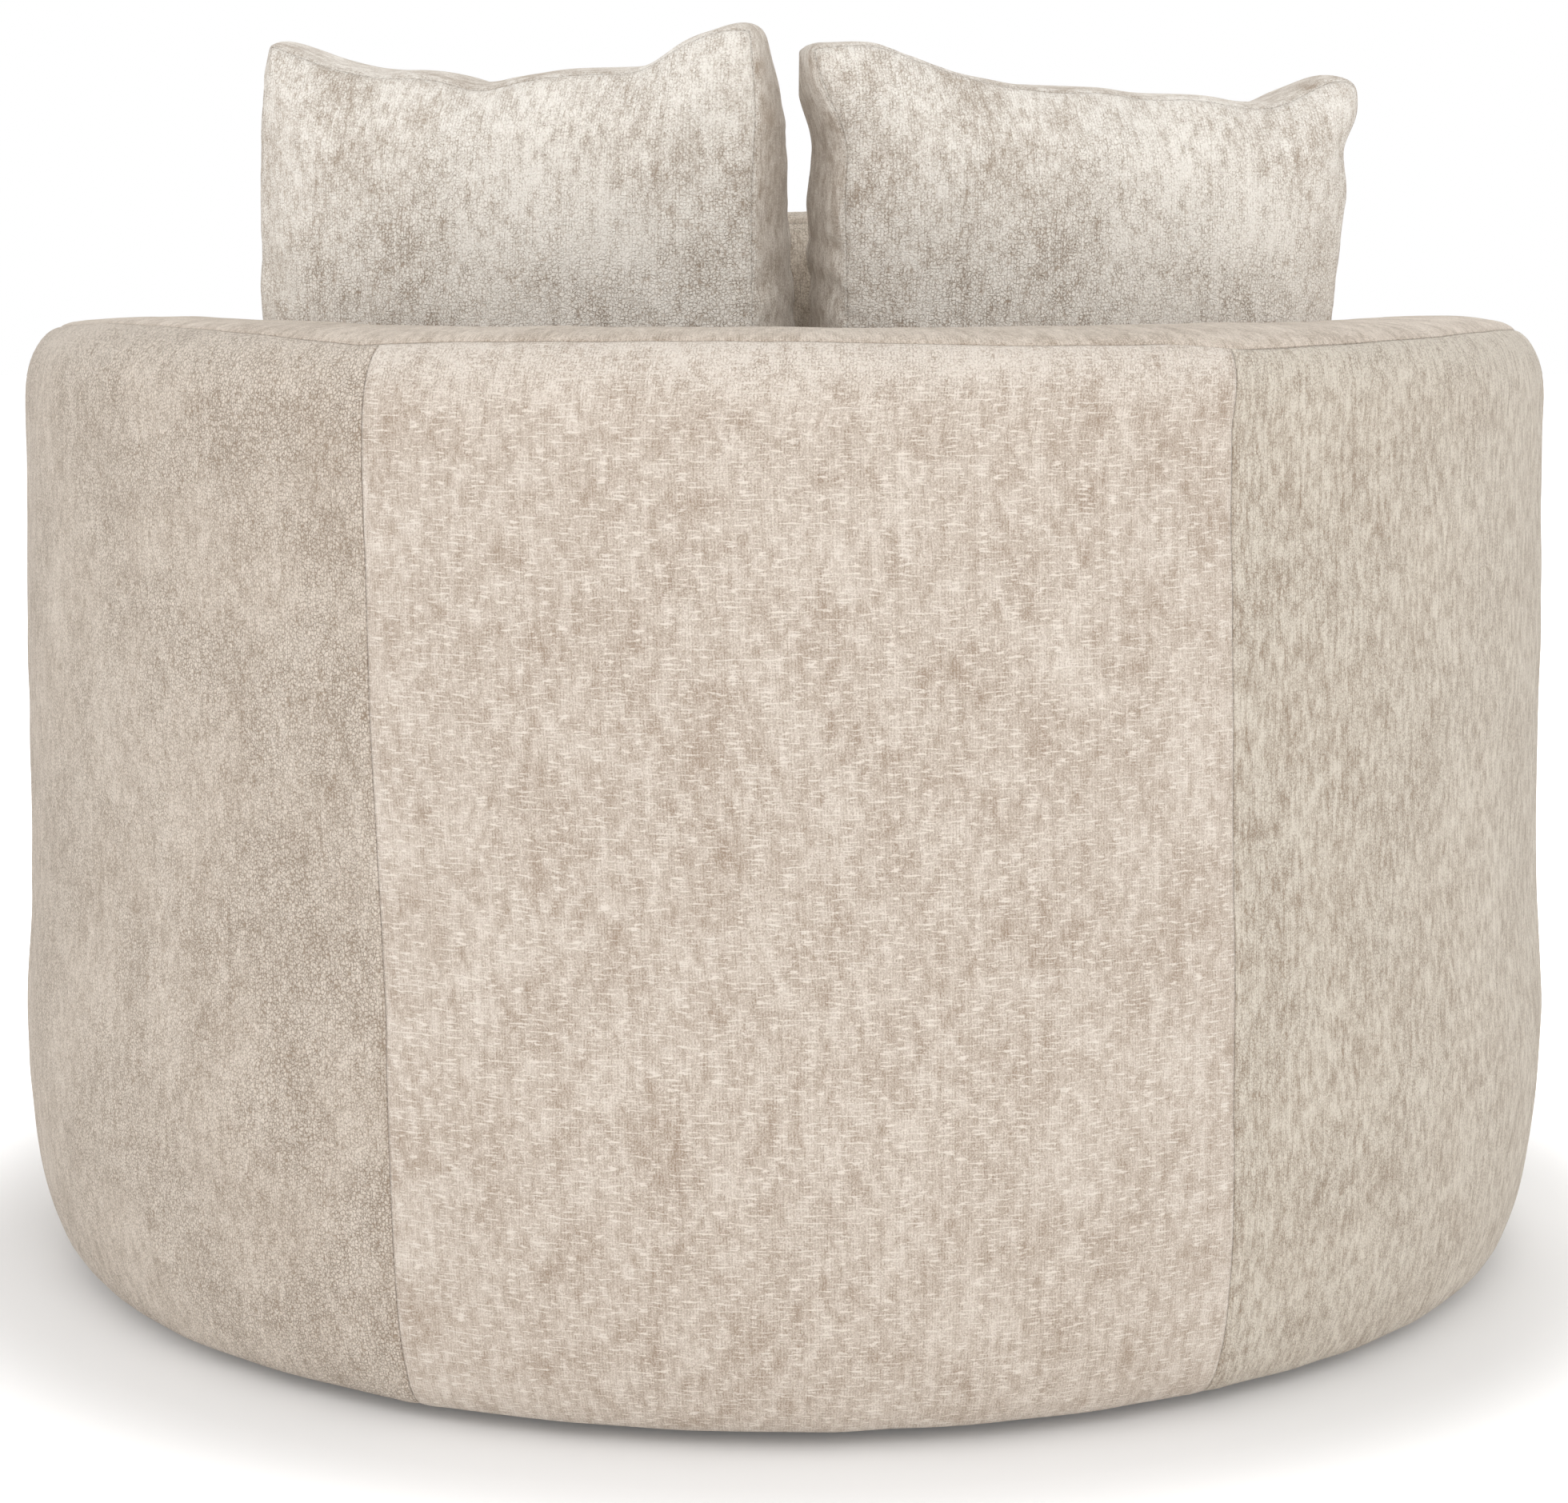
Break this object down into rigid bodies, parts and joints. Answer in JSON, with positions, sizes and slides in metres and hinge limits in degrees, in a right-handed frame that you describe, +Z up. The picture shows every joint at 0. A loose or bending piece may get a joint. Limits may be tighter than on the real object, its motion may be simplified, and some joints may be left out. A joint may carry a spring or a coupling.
{
  "type": "cuddle chair",
  "caption": "Round swivel cuddle chair in oatmeal chenille with loose seat cushion, boxed back pillows and a lumbar pillow.",
  "frame": {"origin": "on the floor, on the swivel axis", "axes": "+Z up; the front, where the sitter faces, is -Y; +X is the sitter's left hand"},
  "size_m": [1.2558, 1.2578, 0.9739],
  "materials": {
    "chenille": "matte",
    "foam": "matte",
    "fibre": "matte",
    "timber": "matte",
    "plywood": "matte",
    "liner_board": "matte",
    "platform_cloth": "matte",
    "steel": "satin",
    "black_plastic": "matte",
    "nylon": "matte"
  },
  "bodies": {
    "base": {"base_board": "plywood", "glide_1": "black_plastic", "glide_2": "black_plastic", "glide_3": "black_plastic", "glide_4": "black_plastic", "lower_swivel_plate": "steel", "pivot_pin": "steel", "pivot_nut": "steel"},
    "cage": {"ball_cage": "nylon"},
    "shell": {"upper_swivel_plate": "steel", "plate_bolt_1": "steel", "plate_bolt_2": "steel", "plate_bolt_3": "steel", "plate_bolt_4": "steel", "cross_rail_front_left": "timber", "cross_rail_front_right": "timber", "bottom_ring": "plywood", "dust_cover": "platform_cloth", "post_back": "timber", "post_back_left": "timber", "post_back_right": "timber", "post_arm_left": "timber", "post_arm_right": "timber", "top_rail_back": "plywood", "top_rail_left": "plywood", "top_rail_right": "plywood", "back_liner": "liner_board", "front_rail": "plywood", "seat_ring": "plywood", "spring_strip_rear": "steel", "spring_strip_front": "steel", "seat_spring_1": "steel", "seat_spring_2": "steel", "seat_spring_3": "steel", "seat_spring_4": "steel", "deck_pad": "fibre", "deck_cover": "platform_cloth", "wall_padding": "fibre", "inner_foam": "foam", "rim_foam": "foam", "front_foam": "foam", "outer_cover_back": "chenille", "outer_cover_left": "chenille", "outer_cover_right": "chenille", "rim_band": "chenille", "inner_cover": "chenille", "arm_facing_left": "chenille", "arm_facing_right": "chenille", "front_border": "chenille"},
    "seat_cushion": {"seat_cushion_cover": "chenille", "seat_cushion_zip": "black_plastic", "seat_cushion_fill": "foam"},
    "back_pillow_left": {"back_pillow_cover_left": "chenille", "back_pillow_zip_left": "black_plastic", "back_pillow_fill_left": "fibre"},
    "back_pillow_right": {"back_pillow_cover_right": "chenille", "back_pillow_zip_right": "black_plastic", "back_pillow_fill_right": "fibre"},
    "lumbar": {"lumbar_pillow": "chenille"}
  },
  "joints": [
    {"name": "swivel", "type": "hinge", "parent": "base", "child": "shell", "pos_m": [0, 0, 0.0362], "axis": [0, 0, 1], "continuous": true},
    {"name": "cage_turn", "type": "hinge", "parent": "base", "child": "cage", "pos_m": [0, 0, 0.0319], "axis": [0, 0, 1], "continuous": true},
    {"name": "seat_cushion_lift", "type": "slide", "parent": "shell", "child": "seat_cushion", "axis": [0, 0, 1], "range_m": [0, 0.46]},
    {"name": "back_pillow_left_lift", "type": "slide", "parent": "seat_cushion", "child": "back_pillow_left", "axis": [0.0172, 0.21, 0.9776], "range_m": [0, 0.3]},
    {"name": "back_pillow_right_lift", "type": "slide", "parent": "seat_cushion", "child": "back_pillow_right", "axis": [-0.0172, 0.21, 0.9776], "range_m": [0, 0.3]},
    {"name": "lumbar_lift", "type": "slide", "parent": "seat_cushion", "child": "lumbar", "axis": [0, -0.5, 0.866], "range_m": [0, 0.3]}
  ],
  "couplings": [
    {"joint": "cage_turn", "follows": "swivel", "ratio": 0.5}
  ]
}
